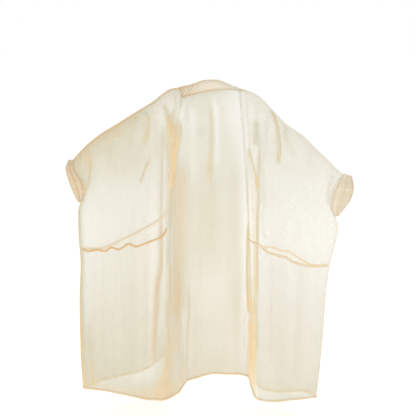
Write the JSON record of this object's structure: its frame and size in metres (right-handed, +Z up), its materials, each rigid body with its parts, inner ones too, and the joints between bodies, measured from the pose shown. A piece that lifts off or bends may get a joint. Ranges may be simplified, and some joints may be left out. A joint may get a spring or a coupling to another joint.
{
  "type": "sheer open-front cloak (bisht) of a child's thobe outfit",
  "caption": "Sheer cream open-front cloak with wide batwing sleeves, folded cuffs, a neck band and rolled hem and hip tucks, worn with the arms spread.",
  "frame": {"origin": "between the wearer's shoulders at the foot of the neck, where the cloak rests on them", "axes": "+Z up, -Y out of the wearer's back, +Y out of the open front, +X towards the wearer's right arm"},
  "size_m": [0.9197, 0.4718, 1.0482],
  "materials": {
    "gauze": "sheer plain-woven gauze, soft sheen",
    "folded_gauze": "the same gauze folded double, denser and more golden",
    "rolled_gauze": "the same gauze rolled and stitched, golden"
  },
  "bodies": {
    "root": {"back_panel": "gauze", "left_front_panel": "gauze", "right_front_panel": "gauze", "neck_band": "folded_gauze", "left_front_band": "folded_gauze", "right_front_band": "folded_gauze", "left_cuff": "folded_gauze", "right_cuff": "folded_gauze", "back_hem": "rolled_gauze", "left_front_hem": "rolled_gauze", "right_front_hem": "rolled_gauze", "left_back_tuck": "rolled_gauze", "right_back_tuck": "rolled_gauze", "left_front_tuck": "rolled_gauze", "right_front_tuck": "rolled_gauze"}
  },
  "joints": []
}
